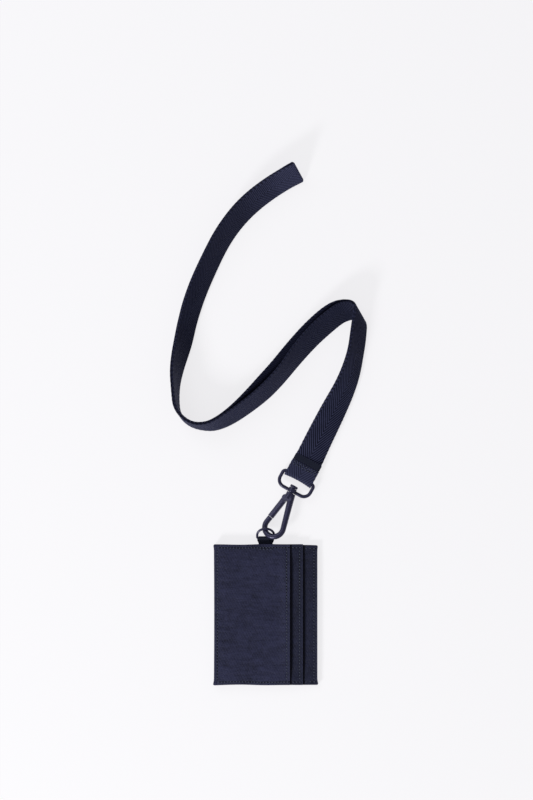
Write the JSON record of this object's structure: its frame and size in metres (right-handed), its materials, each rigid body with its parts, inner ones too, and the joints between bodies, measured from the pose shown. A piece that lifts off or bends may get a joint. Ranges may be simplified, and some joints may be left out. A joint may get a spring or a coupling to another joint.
{
  "type": "neck pouch wallet",
  "caption": "Flat fabric card wallet with staggered pockets, hung by a ribbon tab and D-ring from a swivel snap hook on a folded webbing neck lanyard.",
  "frame": {"origin": "middle of the wallet's back face, which lies on the table", "axes": "+Z out of the front of the wallet, +Y along the wallet towards the ring tab and hook, +X towards the pocket mouths"},
  "size_m": [0.1442, 0.3727, 0.0158],
  "materials": {
    "shell_fabric": "matte coated twill",
    "lining": "matte",
    "thread": "soft sheen",
    "ribbon": "matte",
    "webbing": "herringbone weave",
    "band_tape": "smooth",
    "painted_hardware": "satin",
    "spring_wire": "drawn"
  },
  "bodies": {
    "wallet": {"back_panel": "shell_fabric", "back_lining": "lining", "base_panel": "shell_fabric", "base_lining": "lining", "middle_pocket": "shell_fabric", "front_pocket": "shell_fabric", "perimeter_stitching": "thread", "front_mouth_stitching": "thread", "middle_mouth_stitching": "thread", "base_mouth_stitching": "thread", "ring_tab": "ribbon", "tab_stitching": "thread"},
    "ring": {"d_ring": "painted_hardware"},
    "hook": {"hook_frame": "painted_hardware", "gate_pin": "painted_hardware", "gate_spring": "spring_wire", "swivel_stud": "painted_hardware"},
    "gate": {"gate": "painted_hardware"},
    "loop": {"swivel_loop": "painted_hardware"},
    "strap": {"neck_webbing": "webbing", "end_loop": "webbing", "seam_band": "band_tape", "seam_stitching": "thread"}
  },
  "joints": [
    {"name": "ring_swing", "type": "hinge", "parent": "wallet", "child": "ring", "pos_m": [0, 0.0542, 0.00175], "axis": [1, 0, 0], "range_deg": [-80, 30]},
    {"name": "hook_swing", "type": "hinge", "parent": "ring", "child": "hook", "pos_m": [0.006, 0.0623, 0.0058], "axis": [-0.2812, 0.2062, 0.9372], "range_deg": [-40, 40]},
    {"name": "gate_press", "type": "hinge", "parent": "hook", "child": "gate", "pos_m": [0.01415, 0.08304, 0.00368], "axis": [-0.2812, 0.2062, 0.9372], "range_deg": [0, 18], "stiffness_Nm_per_rad": 0.01, "springref_deg": -45.84},
    {"name": "swivel", "type": "hinge", "parent": "hook", "child": "loop", "pos_m": [0.01878, 0.08823, 0.00393], "axis": [0.4804, 0.8757, -0.0485], "continuous": true},
    {"name": "strap_swing", "type": "hinge", "parent": "loop", "child": "strap", "pos_m": [0.02377, 0.09734, 0.00342], "axis": [0.8767, -0.481, 0], "range_deg": [-90, 90]}
  ]
}
